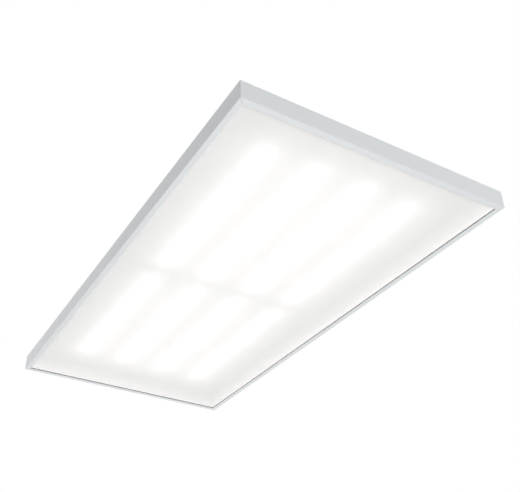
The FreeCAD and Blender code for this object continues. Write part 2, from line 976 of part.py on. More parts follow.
def jumper_leads():
    """Short pairs of wires from the cross board to each light strip's connector."""
    wires = []
    start = size("cross_board_width") / 2 - size("jumper_overlap")
    height = strip_bottom - size("jumper_radius")
    length = size("strip_middle_gap") / 2 - start
    for number, x, side in strip_places():
        for offset in (-1, 1):
            across = x + offset * size("jumper_spacing") / 2
            y_low = start if side > 0 else -size("strip_middle_gap") / 2
            wires.append(rod("jumper", size("jumper_radius"), length, (across, y_low, height), "Y"))
    return group("jumper_leads", wires)


def light_nodes():
    nodes = [light_board(*strip) for strip in strip_places()]
    nodes += [light_chips("light_chips_near", -1), light_chips("light_chips_far", 1)]
    nodes += [board_rivets(), board_plugs(), cross_board(), jumper_leads()]
    return nodes


# ---- gear box and its lid --------------------------------------------------------------

hinge_y = half_gear_width + size("knuckle_radius") + size("lid_gap")
lid_bottom = gear_top + size("lid_gap")
hinge_z = lid_bottom + size("lid_thickness") / 2
lid_screw_z = lid_bottom - size("lid_screw_drop")
grommet_z = plate_top + size("grommet_height")


def knuckle(label, x_low, leaf_low, leaf_high):
    """A hinge knuckle with the leaf that carries it."""
    length = size("knuckle_length")
    barrel = rod(f"{label} barrel", size("knuckle_radius"), length, (x_low, hinge_y, hinge_z), "X")
    leaf = block(f"{label} leaf", (x_low, leaf_low[0], leaf_low[1]),
                 (x_low + length, leaf_high[0], leaf_high[1]))
    return [barrel, leaf]


def knuckle_bore(x_low):
    radius = size("hinge_pin_radius") + size("hinge_clearance")
    return rod("knuckle bore", radius, size("knuckle_length"), (x_low, hinge_y, hinge_z), "X")


def knuckle_starts(on_lid):
    """The low X end of the two knuckles of the box, or of the two of the lid."""
    start = size("knuckle_from_middle")
    length = size("knuckle_length")
    step = length + size("lid_gap")
    near_middle = start + step if on_lid else start
    return [near_middle, -near_middle - length]


def gear_box():
    x, y, wall = half_gear_length, half_gear_width, size("gear_wall")
    corner = size("gear_corner_radius")
    shell = rounded_block("gear_box shell", (-x, -y, plate_top), (x, y, gear_top), corner)
    hollow = rounded_block("gear_box hollow", (wall - x, wall - y, gear_floor_top),
                           (x - wall, y - wall, gear_top + CUTTER_MARGIN), corner - wall)
    tray = cut("gear_box tray", shell, [hollow])
    pieces = [tray]
    for start in knuckle_starts(False):
        pieces += knuckle("box knuckle", start, (y - wall, hinge_z - size("knuckle_radius")),
                          (hinge_y, gear_top))
    clearance = size("hole_clearance")
    tools = [knuckle_bore(start) for start in knuckle_starts(False)]
    tools.append(rod("grommet hole", size("grommet_neck_radius") + clearance, wall,
                     (x - wall, 0, grommet_z), "X"))
    tools.append(rod("lid screw hole", size("lid_screw_radius") + clearance / 2, wall,
                     (0, -y, lid_screw_z), "Y"))
    tools.append(rod("bush hole", size("bush_neck_radius") + clearance, wall,
                     (bush_x, bush_y, plate_top)))
    for u, v in gear_rivet_places():
        tools.append(rod("rivet hole", size("rivet_radius") + clearance, wall, (u, v, plate_top)))
    for u, v in driver_screw_places():
        tools.append(rod("screw hole", size("plate_screw_radius") + clearance, wall,
                         (u, v, plate_top)))
    return cut("gear_box", fuse("gear_box blank", pieces), tools + knockouts())


def knockouts():
    """Ring grooves round the discs that are knocked out for further cable entries."""
    depth = size("knockout_depth")
    quarter = size("gear_length") / 4
    spots = [((-half_gear_length, 0, grommet_z), "X")]
    spots += [((side * quarter, -half_gear_width, grommet_z), "Y") for side in (-1, 1)]
    outer = size("knockout_radius")
    inner = outer - size("knockout_groove")
    return [cut("knockout groove", rod("groove outside", outer, depth, spot, axis),
                [rod("groove inside", inner, depth, spot, axis)]) for spot, axis in spots]


def gear_lid():
    gap = size("lid_side_gap")
    thick = size("lid_thickness")
    x = half_gear_length + gap + thick
    y = half_gear_width + gap + thick
    rear = half_gear_width - size("lid_gap")
    low = lid_bottom - size("lid_flange")
    corner = size("gear_corner_radius") + gap + thick
    shell = rounded_block("gear_lid shell", (-x, -y, low), (x, rear, lid_bottom + thick),
                          corner, size("lid_bend_radius"), open_rear=True)
    hollow = rounded_block("gear_lid hollow", (thick - x, thick - y, low - CUTTER_MARGIN),
                           (x - thick, rear + CUTTER_MARGIN, lid_bottom), corner - thick, open_rear=True)
    folded = cut("gear_lid folded", shell, [hollow])
    pieces = [folded]
    for start in knuckle_starts(True):
        pieces += knuckle("lid knuckle", start, (rear - thick, lid_bottom),
                          (hinge_y, lid_bottom + thick))
    slot = size("lid_screw_radius") + size("lid_slot_clearance")
    tools = [knuckle_bore(start) for start in knuckle_starts(True)]
    tools.append(rod("slot top", slot, thick, (0, -y, lid_screw_z), "Y"))
    tools.append(block("slot", (-slot, -y, low), (slot, thick - y, lid_screw_z)))
    blank = fuse("gear_lid blank", pieces)
    return cut("gear_lid", blank, [fuse("slot cutters", tools[2:])] + tools[:2])


def hinge_pins():
    """Two pins, each through one knuckle of the box and the one of the lid beside it."""
    radius = size("hinge_pin_radius")
    head_length = size("hinge_pin_head_length")
    length = size("knuckle_length") * 2 + size("lid_gap")
    start = size("knuckle_from_middle")
    pins = []
    for x_low in (start, -start - length):
        shank = rod("pin shank", radius, length, (x_low, hinge_y, hinge_z), "X")
        head_x = x_low - head_length if x_low.value > 0 else x_low + length
        cap = rod("pin head", size("hinge_pin_head_radius"), head_length, (head_x, hinge_y, hinge_z), "X")
        pins.append(fuse("hinge pin", [shank, cap]))
    return group("hinge_pins", pins)


def lid_screw():
    """The screw in the front wall, loosened so that the slotted flange lifts off it."""
    grip = size("gear_wall") + size("lid_side_gap") + size("lid_thickness")
    stand = (grip + size("lid_screw_looseness")).value
    screw = pan_screw(
        size("lid_screw_radius").value, stand + size("lid_screw_reach").value,
        size("lid_screw_head_radius").value, size("lid_screw_head_height").value,
    )
    screw.rotate(FreeCAD.Vector(), FreeCAD.Vector(1, 0, 0), 90)
    seat = half_gear_width + size("lid_side_gap") + size("lid_thickness") + size("lid_screw_looseness")
    return copies("lid_screw", screw, [vector(0, -seat, lid_screw_z)])


def gear_rivets():
    radius = size("rivet_radius").value
    head = size("rivet_head_radius").value
    rise = size("rivet_head_height").value
    grip = (gear_floor_top - ledge_top).value
    section = [
        (0, -rise), (head * RIVET_TAIL, -rise), (head * RIVET_TAIL, 0), (radius, 0), (radius, grip),
        (head, grip), (head * 0.6, grip + rise), (0, grip + rise),
    ]
    places = [vector(x, y, ledge_top) for x, y in gear_rivet_places()]
    return copies("gear_box_rivets", spun(section), places)


# ---- driver ------------------------------------------------------------------------------

def driver_base():
    """A folded channel with two ears and four posts for the circuit board."""
    wall = size("driver_wall")
    y = size("driver_width") / 2
    top = gear_floor_top + size("driver_height") - wall
    ear = size("driver_ear")
    floor_top = gear_floor_top + wall
    pieces = [
        block("driver floor", (driver_start - ear, -y, gear_floor_top), (driver_end + ear, y, floor_top)),
        block("driver wall", (driver_start, -y, gear_floor_top), (driver_end, wall - y, top)),
        block("driver wall", (driver_start, y - wall, gear_floor_top), (driver_end, y, top)),
    ]
    lift = size("driver_board_lift")
    for x, v in driver_post_places():
        pieces.append(rod("post", size("post_radius"), wall + lift, (x, v, gear_floor_top)))
    clearance = size("hole_clearance")
    holes = [rod("ear hole", size("plate_screw_radius") + clearance, wall, (x, v, gear_floor_top))
             for x, v in driver_screw_places()]
    return cut("driver_base", fuse("driver_base blank", pieces), holes)


def driver_post_places():
    inset = size("driver_board_margin") + size("driver_wall") + size("post_radius")
    x_places = (driver_start + inset, driver_end - inset)
    half = size("driver_width") / 2 - inset
    return [(x, side * half) for x in x_places for side in (-1, 1)]


def driver_cover():
    wall = size("driver_wall")
    y = size("driver_width") / 2
    top = gear_floor_top + size("driver_height")
    floor_top = gear_floor_top + wall
    pieces = [block("driver top", (driver_start, -y, top - wall), (driver_end, y, top))]
    for x in (driver_start, driver_end - wall):
        pieces.append(block("driver end", (x, wall - y, floor_top), (x + wall, y - wall, top)))
    return fuse("driver_cover", pieces)


def driver_board():
    margin = size("driver_wall") + size("driver_board_margin")
    low = gear_floor_top + size("driver_wall") + size("driver_board_lift")
    y = size("driver_width") / 2 - margin
    return block("driver_board", (driver_start + margin, -y, low),
                 (driver_end - margin, y, low + size("driver_board_thickness")))


def driver_board_top():
    base = gear_floor_top + size("driver_wall") + size("driver_board_lift")
    return base + size("driver_board_thickness")


def driver_components():
    """The transformer and the three upright capacitors on the driver's board."""
    return group("driver_components", [driver_transformer(), *driver_capacitors()])


def driver_transformer():
    half_x = size("transformer_length") / 2
    half_y = size("transformer_width") / 2
    middle = size("driver_offset")
    return block("driver_transformer", (middle - half_x, -half_y, driver_board_top()),
                 (middle + half_x, half_y, driver_board_top() + size("transformer_height")))


def driver_capacitors():
    """Three upright capacitors, one towards the mains end and two towards the other."""
    radius = size("capacitor_radius")
    step = size("transformer_length") / 2 + radius * 3
    middle = size("driver_offset")
    places = [(middle + step, 0), (middle - step, -radius * 1.4), (middle - step, radius * 1.4)]
    return [rod("capacitor", radius, size("capacitor_height"), (x, y, driver_board_top()))
            for x, y in places]


def driver_screws():
    screw = pan_screw(
        size("plate_screw_radius").value, size("driver_screw_length").value,
        size("plate_screw_head_radius").value, size("plate_screw_head_height").value,
    )
    seat = gear_floor_top + size("driver_wall")
    return copies("driver_screws", screw, [vector(x, y, seat) for x, y in driver_screw_places()])


def driver_nodes():
    return [driver_base(), driver_cover(), driver_board(), driver_components(), driver_screws()]


# ---- mains terminal, earth stud, grommet, bush and leads ---------------------------------------

lever_x = terminal_start + size("lever_pivot_inset")
lever_z = terminal_top - size("slot_depth") / 2
half_slot = size("slot_width") / 2
half_terminal = size("pole_pitch") + size("slot_width") / 2 + size("pole_margin") / 2
entry_z = gear_floor_top + size("entry_height")
POLES = (-1, 0, 1)


def terminal_housing():
    body = block("terminal_housing blank", (terminal_start, -half_terminal, gear_floor_top),
                 (terminal_end, half_terminal, terminal_top))
    clear = size("lever_thickness") / 2 + 2 * size("lever_side_gap")
    socket = half_slot + size("trunnion_reach") + size("hole_clearance")
    tools = []
    for pole in POLES:
        y = pole * size("pole_pitch")
        slot = block("lever slot", (lever_x - clear, y - half_slot, terminal_top - size("slot_depth")),
                     (terminal_end + CUTTER_MARGIN, y + half_slot, terminal_top + CUTTER_MARGIN))
        sockets = rod("lever sockets", size("trunnion_radius") + size("hinge_clearance"), socket * 2,
                      (lever_x, y - socket, lever_z), "Y")
        tools.append(fuse("lever cutter", [slot, sockets]))
        tools.append(rod("wire entry", size("entry_radius"), size("entry_depth"),
                         (terminal_end - size("entry_depth"), y, entry_z), "X"))
    return cut("terminal_housing", body, tools)


def terminal_lever(number, pole):
    """A clamp lever that lies in its slot and lifts about two round trunnions."""
    y = pole * size("pole_pitch")
    half = half_slot - size("lever_side_gap")
    radius = size("lever_thickness") / 2
    reach = half_slot + size("trunnion_reach")
    tip = terminal_end + size("lever_overhang")
    pieces = [
        rod("lever heel", radius, half * 2, (lever_x, y - half, lever_z), "Y"),
        block("lever bar", (lever_x, y - half, lever_z - radius), (tip, y + half, lever_z + radius)),
        rod("trunnions", size("trunnion_radius"), reach * 2, (lever_x, y - reach, lever_z), "Y"),
    ]
    return fuse(f"terminal_lever_{number}", pieces)


def grommet():
    """A rubber grommet for the mains cable, in the end wall of the gear box."""
    bore = size("grommet_bore_radius").value
    neck = size("grommet_neck_radius").value
    flange = size("grommet_flange_radius").value
    lip = size("grommet_flange").value
    nose = size("grommet_nose").value
    wall = size("gear_wall").value
    section = [
        (bore, -wall - nose), (bore + 1.5, -wall - nose), (flange, -wall - lip), (flange, -wall),
        (neck, -wall), (neck, 0), (flange, 0), (flange - 0.5, lip), (bore, lip),
    ]
    ring = spun(section)
    ring.rotate(FreeCAD.Vector(), FreeCAD.Vector(0, 1, 0), 90)
    return copies("cable_grommet", ring, [vector(half_gear_length, 0, grommet_z)])


def wire_bush():
    """A plastic bush that lines the hole from the gear box into the light."""
    bore = size("bush_bore_radius").value
    neck = size("bush_neck_radius").value
    flange = size("bush_flange_radius").value
    lip = size("bush_flange").value
    grip = (gear_floor_top - sheet_bottom).value
    section = [
        (bore, -grip), (neck, -grip), (neck, 0), (flange, 0), (flange - 0.4, lip), (bore, lip),
    ]
    return copies("wire_bush", spun(section), [vector(bush_x, bush_y, gear_floor_top)])


def stud_place():
    return ((driver_end + terminal_start) / 2, -size("stud_across"))


def earth_stud():
    """The earth stud, welded to the floor, with a nut on each side of the ring lug."""
    radius = size("stud_radius").value
    foot = size("stud_flange_radius").value
    foot_rise = size("stud_flange_height").value
    rise = size("stud_height").value
    section = [
        (0, 0), (foot, 0), (foot, foot_rise), (radius, foot_rise), (radius, rise - 0.6),
        (radius - 0.6, rise), (0, rise),
    ]
    x, y = stud_place()
    screw = copies("earth screw", spun(section), [vector(x, y, gear_floor_top)])
    return group("earth_stud", [screw, earth_nuts()])


def hexagon_nut(bore, across_flats, height):
    ring = []
    for number in range(6):
        angle = math.radians(60 * number)
        reach = across_flats / 2 / math.cos(math.radians(30))
        ring.append(FreeCAD.Vector(reach * math.cos(angle), reach * math.sin(angle), 0))
    prism = Part.Face(Part.makePolygon(ring + ring[:1])).extrude(FreeCAD.Vector(0, 0, height))
    return prism.cut(Part.makeCylinder(bore, height))


def earth_nuts():
    bore = (size("stud_radius") + size("hinge_clearance")).value
    nut = hexagon_nut(bore, size("stud_nut_width").value, size("stud_nut_height").value)
    x, y = stud_place()
    lower = gear_floor_top + size("stud_flange_height")
    upper = lug_height() + size("lug_thickness")
    return copies("earth nuts", nut, [vector(x, y, lower), vector(x, y, upper)])


def lug_height():
    return gear_floor_top + size("stud_flange_height") + size("stud_nut_height")


def earth_lug():
    """A crimped ring lug: a flat ring with a round barrel for the wire."""
    bore = (size("stud_radius") + size("hinge_clearance")).value
    outer = size("lug_radius").value
    thick = size("lug_thickness").value
    barrel = size("lug_barrel_radius").value
    length = size("lug_barrel_length").value
    ring = Part.makeCylinder(outer, thick).cut(Part.makeCylinder(bore, thick))
    start = FreeCAD.Vector(0, outer - 0.5, barrel)
    sleeve = Part.makeCylinder(barrel, length, start, FreeCAD.Vector(0, 1, 0))
    neck = Part.makeBox(2 * barrel, 1.5, thick, FreeCAD.Vector(-barrel, outer - 1, 0))
    x, y = stud_place()
    return copies("earth_lug", ring.fuse(neck).fuse(sleeve), [vector(x, y, lug_height())])


def mains_leads():
    """Live and neutral, from the clamp terminal to the driver."""
    height = gear_floor_top + size("driver_height") / 2
    spacing = size("pole_pitch") / 2
    wires = []
    for pole in (0, 1):
        driver_y = (2 * pole - 1) * spacing
        y = pole * size("pole_pitch")
        third = size("terminal_from_driver") / 3
        route = [
            vector(driver_end, driver_y, height), vector(driver_end + third, driver_y, height),
            vector(terminal_start - third, y, entry_z), vector(terminal_start, y, entry_z),
        ]
        wires.append(lead(route, size("lead_radius").value, size("lead_bend").value))
    return feature("mains_leads", Part.makeCompound(wires))


def earth_lead():
    """From the earth pole of the terminal to the crimp barrel of the lug."""
    x, y = stud_place()
    barrel_end = y + size("lug_radius") - 0.5 + size("lug_barrel_length")
    barrel_z = lug_height() + size("lug_barrel_radius")
    pole_y = -size("pole_pitch")
    route = [
        vector(terminal_start, pole_y, entry_z), vector(x, pole_y, entry_z),
        vector(x, barrel_end, barrel_z),
    ]
    return feature("earth_lead", lead(route, size("lead_radius").value, size("lead_bend").value))


def output_leads():
    """Two leads from the driver, down through the bush and on to the cross board."""
    height = gear_floor_top + size("driver_height") / 2
    low = strip_bottom - size("lead_radius")
    end_y = size("cross_board_width") / 2 - size("output_lead_overlap")
    step = size("output_lead_spacing") / 2
    wires = []
    for side in (-1, 1):
        x = bush_x - side * step
        y = bush_y + side * step
        route = [
            vector(driver_start, y, height), vector(x, y, height), vector(x, y, low),
            vector(x, end_y, low),
        ]
        wires.append(lead(route, size("lead_radius").value, size("lead_bend").value * 0.8))
    return feature("output_leads", Part.makeCompound(wires))


def wiring_nodes():
    levers = [terminal_lever(number, pole) for number, pole in enumerate(POLES, start=1)]
    return [terminal_housing(), *levers, grommet(), wire_bush(), earth_stud(), earth_lug(),
            mains_leads(), earth_lead(), output_leads()]


# ---- swing-out clips ------------------------------------------------------------------------------

def grid_clip(number, x_side, y_side):
    """A flat arm that lies inside the outline and swings out over the ceiling grid."""
    half = size("clip_width") / 2
    length = size("clip_length")
    thick = size("clip_thickness")
    x, y = clip_places()[number - 1]
    tip = y - y_side * (length - half)
    low_y, high_y = sorted((y, tip), key=value_of)
    top = clip_bottom + thick
    tab_y = sorted((tip, tip + y_side * thick), key=value_of)
    corner = size("clip_corner_radius")
    pieces = [
        rod("clip eye", half, thick, (x, y, clip_bottom)),
        rounded_block("clip arm", (x - half, low_y, clip_bottom), (x + half, high_y, top), corner),
        block("clip tab", (x - half + corner, tab_y[0], clip_bottom),
              (x + half - corner, tab_y[1], top + size("clip_tab"))),
    ]
    hole = rod("pivot hole", size("clip_pin_radius") + size("hinge_clearance"), thick, (x, y, clip_bottom))
    return cut(f"grid_clip_{number}", fuse(f"grid_clip_{number} blank", pieces), [hole])


def clip_screws():
    """Shouldered pivot screws: a collar under each clip, a plain pin and a wide head."""
    play = size("clip_play").value
    collar_rise = (clip_bottom - plate_top).value - play
    pin_top = (clip_bottom - plate_top + size("clip_thickness")).value + play
    head_top = pin_top + size("clip_head_height").value
    thread = size("clip_thread_radius").value
    pin = size("clip_pin_radius").value
    collar = size("clip_collar_radius").value
    head = size("clip_head_radius").value
    bottom = -size("clip_thread_length").value
    section = [
        (0, bottom), (thread, bottom), (thread, 0), (collar, 0), (collar, collar_rise),
        (pin, collar_rise), (pin, pin_top), (head, pin_top), (head, head_top - 0.6),
        (head - 0.8, head_top), (0, head_top),
    ]
    screw = spun(section).cut(cross_recess(head, 1.0, head_top))
    return copies("clip_screws", screw, [vector(x, y, plate_top) for x, y in clip_places()])


def clip_nuts():
    bore = (size("clip_thread_radius") + size("hinge_clearance")).value
    height = size("clip_nut_height").value
    flats = 2 * size("clip_nut_radius").value * math.cos(math.radians(30))
    nut = hexagon_nut(bore, flats, height)
    seat = ledge_top - height
    return copies("clip_nuts", nut, [vector(x, y, seat) for x, y in clip_places()])


def clip_nodes():
    clips = [grid_clip(number, *corner) for number, corner in enumerate(CORNERS, start=1)]
    return clips + [clip_screws(), clip_nuts()]


# ---- build, test and write -----------------------------------------------------------------------

def gear_nodes():
    return [gear_box(), gear_lid(), hinge_pins(), lid_screw(), gear_rivets()]


def check(nodes):
    """Stops on any object that failed and on any sub-part without a sound solid."""
    for thing in document.Objects:
        if {"Invalid", "Error"} & set(thing.State):
            raise RuntimeError(f"{thing.Label} failed: {thing.State}")
    for node in nodes:
        shape = node.Shape
        if shape.isNull() or not shape.isValid() or not shape.Solids:
            raise RuntimeError(f"{node.Label} has no sound solid")


def write(nodes):
    os.makedirs("parts", exist_ok=True)
    for node in nodes:
        node.Shape.exportStep(os.path.join("parts", f"{node.Label}.step"))


nodes = frame_nodes() + optic_nodes() + back_nodes() + light_nodes()
nodes += gear_nodes() + driver_nodes() + wiring_nodes() + clip_nodes()
document.recompute()
check(nodes)
write(nodes)
print(len(nodes), "sub-parts written")
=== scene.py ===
import math

import bmesh
import bpy
from mathutils import Matrix, Vector


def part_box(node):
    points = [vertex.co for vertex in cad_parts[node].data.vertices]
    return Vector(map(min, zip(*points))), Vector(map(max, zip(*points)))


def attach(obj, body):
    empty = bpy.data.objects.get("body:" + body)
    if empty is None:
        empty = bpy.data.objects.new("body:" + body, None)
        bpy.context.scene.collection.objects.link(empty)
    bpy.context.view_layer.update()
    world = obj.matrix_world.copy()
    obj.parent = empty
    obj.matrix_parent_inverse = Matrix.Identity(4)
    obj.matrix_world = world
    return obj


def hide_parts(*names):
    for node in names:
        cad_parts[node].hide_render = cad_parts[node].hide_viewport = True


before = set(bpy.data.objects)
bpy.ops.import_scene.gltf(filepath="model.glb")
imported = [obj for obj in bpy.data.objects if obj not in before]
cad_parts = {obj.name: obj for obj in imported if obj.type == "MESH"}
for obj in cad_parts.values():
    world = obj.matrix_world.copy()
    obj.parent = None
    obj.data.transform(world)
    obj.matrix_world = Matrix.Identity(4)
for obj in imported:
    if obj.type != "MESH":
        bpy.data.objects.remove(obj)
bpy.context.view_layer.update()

# ---- Camera ---------------------------------------------------------------------------------
# The light hangs above the viewer, who looks up at it from beyond its near left corner.
# A short telephoto lens takes in the whole panel, and it is shifted a little.

camera = bpy.data.objects.new("camera", bpy.data.cameras.new("camera"))
bpy.context.scene.collection.objects.link(camera)
bpy.context.scene.camera = camera
camera.data.sensor_width = 36
camera.data.lens = 52.29
camera.data.shift_x = 0.0406
camera.data.shift_y = 0.0181
viewpoint = Vector((-0.735176, -1.360133, -0.892439))
sight_line = Vector((0.41343, 0.72328, 0.55312))
to_the_right = Vector((0.86747, -0.49749, 0.00214))
upwards = to_the_right.cross(sight_line)
turn = Matrix((to_the_right, upwards, -sight_line)).transposed().to_4x4()
camera.matrix_world = Matrix.Translation(viewpoint) @ turn


# ---- Studio ---------------------------------------------------------------------------------
# A pale floor far below the hanging light, a plain white surround, and four broad soft lamps:
# one under the panel, one behind the viewer, one off the left side, and one above the back.

class Wire:
    """One output of a shader node. Sums written on wires add the nodes that work them out."""

    def __init__(self, tree, socket=None):
        self.tree = tree
        self.socket = socket

    def node(self, kind, settings=None, inputs=None, output=0):
        """Adds a node: first its settings, then the values or wires of its sockets."""
        made = self.tree.nodes.new("ShaderNode" + kind)
        for name, value in (settings or {}).items():
            setattr(made, name, value)
        for name, value in (inputs or {}).items():
            if isinstance(value, Wire):
                self.tree.links.new(value.socket, made.inputs[name])
            else:
                made.inputs[name].default_value = value
        return Wire(self.tree, made.outputs[output] if made.outputs else None)

    def work_out(self, operation, first, second=0.0):
        return self.node("Math", {"operation": operation}, {0: first, 1: second})

    def __add__(self, other):
        return self.work_out("ADD", self, other)

    def __radd__(self, other):
        return self.work_out("ADD", other, self)

    def __sub__(self, other):
        return self.work_out("SUBTRACT", self, other)

    def __rsub__(self, other):
        return self.work_out("SUBTRACT", other, self)

    def __mul__(self, other):
        return self.work_out("MULTIPLY", self, other)

    def __rmul__(self, other):
        return self.work_out("MULTIPLY", other, self)

    def __truediv__(self, other):
        return self.work_out("DIVIDE", self, other)

    def __pow__(self, other):
        return self.work_out("POWER", self, other)

    def __abs__(self):
        return self.work_out("ABSOLUTE", self)

    def __gt__(self, other):
        return self.work_out("GREATER_THAN", self, other)

    def at_least(self, other):
        return self.work_out("MAXIMUM", self, other)

    def at_most(self, other):
        return self.work_out("MINIMUM", self, other)

    def fading(self, reach):
        """One where this wire is nought, falling to about a third at a reach in metres."""
        return self.work_out("EXPONENT", self / -reach)

    def part(self, axis):
        """One of the X, Y and Z parts of a place."""
        return self.node("SeparateXYZ", inputs={0: self}, output=axis)

    def between(self, first, second):
        """A colour between two, with this wire as the share of the second."""
        return self.node("Mix", {"data_type": "RGBA"}, {0: self, 6: first, 7: second}, output=2)

    def grain(self, size, detail=2.0, roughness=0.5):
        """Even noise over a place, with grains of a size in metres."""
        wanted = {"Vector": self, "Scale": 1 / size, "Detail": detail, "Roughness": roughness}
        return self.node("TexNoise", inputs=wanted)

    def varied(self, middle, spread, size):
        """A value that wanders about its middle, by up to half the spread, in patches of a size."""
        return middle + (self.grain(size) - 0.5) * spread

    def relief(self, depth, strength=1.0):
        """The surface's normal when this wire is its height, for a depth in metres."""
        return self.node("Bump", inputs={"Strength": strength, "Distance": depth, "Height": self})

    def seen_directly(self):
        """One for what the camera sees, by itself or in a mirror or glass, and otherwise nought."""
        rays = ("Is Camera Ray", "Is Glossy Ray", "Is Transmission Ray")
        by_camera, by_gloss, by_glass = (self.node("LightPath", output=ray) for ray in rays)
        return (by_camera + by_gloss + by_glass).at_most(1.0)


pure_white = (1.0, 1.0, 1.0, 1.0)
surround_colour = (0.95, 0.98, 1.0, 1.0)
surround_strength = 0.42
floor_height = -2.6
floor_span = 600.0
floor_colour = (0.9, 0.9, 0.9, 1.0)
floor_white_share = 0.75

world = bpy.data.worlds.new("surround")
bpy.context.scene.world = world
world.use_nodes = True
world.node_tree.nodes.clear()
start = Wire(world.node_tree)
lighting = start.node("Background", inputs={"Color": surround_colour, "Strength": surround_strength})
backdrop = start.node("Background", inputs={"Color": pure_white, "Strength": 1.0})
chosen = start.node("MixShader", inputs={0: start.seen_directly(), 1: lighting, 2: backdrop})
start.node("OutputWorld", inputs={"Surface": chosen})

floor_paint = bpy.data.materials.new("floor")
floor_paint.use_nodes = True
floor_paint.node_tree.nodes.clear()
start = Wire(floor_paint.node_tree)
matt = start.node("BsdfDiffuse", inputs={"Color": floor_colour})
lit = start.node("Emission", inputs={"Color": pure_white, "Strength": 1.0})
share = start.seen_directly() * floor_white_share
chosen = start.node("MixShader", inputs={0: share, 1: matt, 2: lit})
start.node("OutputMaterial", inputs={"Surface": chosen})

floor_shape = bmesh.new()
bmesh.ops.create_grid(floor_shape, x_segments=1, y_segments=1, size=floor_span / 2,
                      matrix=Matrix.Translation((0, 0, floor_height)))
floor_mesh = bpy.data.meshes.new("floor")
floor_shape.to_mesh(floor_mesh)
floor_shape.free()
floor_mesh.materials.append(floor_paint)
floor = bpy.data.objects.new("floor", floor_mesh)
bpy.context.scene.collection.objects.link(floor)


def soft_lamp(name, place, target, width, power):
    """A square lamp that faces a target."""
    light = bpy.data.lights.new(name, "AREA")
    light.shape = "SQUARE"
    light.size = width
    light.energy = power
    lamp = bpy.data.objects.new(name, light)
    bpy.context.scene.collection.objects.link(lamp)
    away = Vector(place) - Vector(target)
    lamp.rotation_euler = away.to_track_quat("Z", "Y").to_euler()
    lamp.location = place


soft_lamp("lamp_below", place=(0.6, 1.1, -2.3), target=(0.1, 0.5, 0), width=2.2, power=21.0)
soft_lamp("lamp_near", place=(0.4, -2.9, -1.1), target=(0, -0.6, 0), width=0.9, power=29.0)
soft_lamp("lamp_left", place=(-2.4, 2.0, -0.8), target=(-0.3, 0.6, 0), width=1.4, power=18.5)
soft_lamp("lamp_above", place=(1.7, 1.9, 2.2), target=(0, 0, 0), width=1.2, power=50.0)
bpy.context.scene.view_settings.view_transform = "Standard"


# ---- Frame ----------------------------------------------------------------------------------
# Four rails of roll-formed steel, mitred at the corners, with a lip that carries the diffuser.
# They are powder coated satin white, with the faint orange peel that such a coat dries to.
# Flat zinc-plated angles and countersunk screws hold the mitres together.

def finish(name, fixed, painted):
    """A material: fixed values of the shader's own sockets, and what varies over the surface."""
    material = bpy.data.materials.new(name)
    material.use_nodes = True
    material.node_tree.nodes.clear()
    place = Wire(material.node_tree).node("TexCoord", output="Object")
    shader = place.node("BsdfPrincipled", inputs={**fixed, **painted(place)})
    place.node("OutputMaterial", inputs={"Surface": shader})
    return material


def coated(name, dark, pale, roughness, peel_size, peel_depth):
    """A sprayed coat between two near colours, with orange peel of a given size and depth."""
    def painted(place):
        cloud = place.grain(size=0.22, detail=3.0)
        peel = place.grain(size=peel_size, detail=1.5)
        return {
            "Base Color": cloud.between(dark, pale),
            "Roughness": place.varied(roughness, spread=0.12, size=0.03),
            "Normal": peel.relief(peel_depth),
        }

    return finish(name, {"IOR": 1.5}, painted)


def dress(material, *names):
    """Gives the material to nodes whose shape stays as it is."""
    for name in names:
        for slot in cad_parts[name].material_slots:
            slot.material = material


rail_coat = coated("powder_coat", dark=(0.79, 0.81, 0.82, 1), pale=(0.83, 0.845, 0.85, 1),
                   roughness=0.30, peel_size=0.0009, peel_depth=0.00002)
dress(rail_coat, "rail_left", "rail_right", "rail_near", "rail_far")


def plated(name, dark, pale, roughness, fleck, brush=(1, 1, 1)):
    """Bright plated steel with fine flecks, drawn out along an axis where brush is under one."""
    gloss_spread = 0.2
    pit_size = 0.6 * fleck

    def painted(place):
        drawn = place.node("Mapping", inputs={"Vector": place, "Scale": brush})
        flecks = drawn.grain(size=fleck, detail=3.0, roughness=0.6)
        return {
            "Base Color": flecks.between(dark, pale),
            "Roughness": roughness + (flecks - 0.5) * gloss_spread,
            "Normal": drawn.grain(pit_size).relief(depth=0.00001),
        }

    return finish(name, {"Metallic": 1.0}, painted)


zinc = plated("bright_zinc", dark=(0.60, 0.61, 0.63, 1), pale=(0.78, 0.78, 0.79, 1),
              roughness=0.34, fleck=0.0012)
dress(zinc, "corner_brackets", "corner_screws")


# ---- Foam seal ------------------------------------------------------------------------------
# A strip of dark grey closed-cell foam, stuck along the inside of each lip under the diffuser.
# It is cut square with slightly rounded edges, and its cut faces show small cells.

def soften(shape, edges, radius, steps=3):
    """Rounds edges over with a radius, in a number of flat steps."""
    bmesh.ops.bevel(shape, geom=list(edges), offset=radius, offset_type="OFFSET", segments=steps,
                    profile=0.5, affect="EDGES", material=-1, clamp_overlap=True)


def block(low, high, radius, steps=3, material=0):
    """A new rounded block from corner to corner, in one of its piece's materials."""
    low, high = Vector(low), Vector(high)
    stretch = Matrix.Diagonal((*(high - low), 1))
    shape = bmesh.new()
    bmesh.ops.create_cube(shape, size=1, matrix=Matrix.Translation((low + high) / 2) @ stretch)
    soften(shape, shape.edges, radius, steps)
    for face in shape.faces:
        face.material_index = material
    return shape


crease = math.radians(35)


def piece(name, shape, materials, stands_for, body="housing"):
    """Makes a shape into a piece that stands for nodes and rides on their body."""
    mesh = bpy.data.meshes.new(name)
    shape.to_mesh(mesh)
    shape.free()
    for material in materials:
        mesh.materials.append(material)
    mesh.shade_smooth()
    mesh.set_sharp_from_angle(angle=crease)
    made = bpy.data.objects.new(name, mesh)
    bpy.context.scene.collection.objects.link(made)
    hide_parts(*stands_for)
    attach(made, body)


cell_size = 0.0008
foam_dark = (0.24, 0.245, 0.25, 1)
foam_pale = (0.34, 0.345, 0.35, 1)


